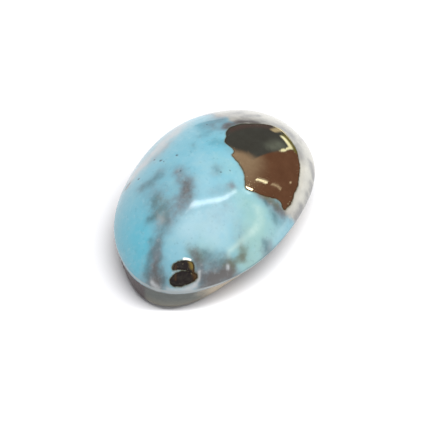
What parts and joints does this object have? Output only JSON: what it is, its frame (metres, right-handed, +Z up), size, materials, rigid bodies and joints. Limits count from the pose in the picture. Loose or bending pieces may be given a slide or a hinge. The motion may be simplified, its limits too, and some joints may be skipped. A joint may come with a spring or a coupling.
{
  "type": "polished turquoise cabochon with pyrite",
  "caption": "Freeform oval turquoise stone, domed and polished above a narrow girdle, with pyrite and pale host rock in it, ground flat beneath.",
  "frame": {"origin": "the middle of the stone's box, on the plane of its flat base", "axes": "+Z up through the dome, +X along the long axis towards the pyrite end, +Y across the stone"},
  "size_m": [0.0252, 0.0176, 0.0084],
  "materials": {
    "turquoise": "polished blue-green turquoise with grey matrix, metallic pyrite and pale host rock"
  },
  "bodies": {
    "root": {"turquoise_stone": "turquoise"}
  },
  "joints": []
}
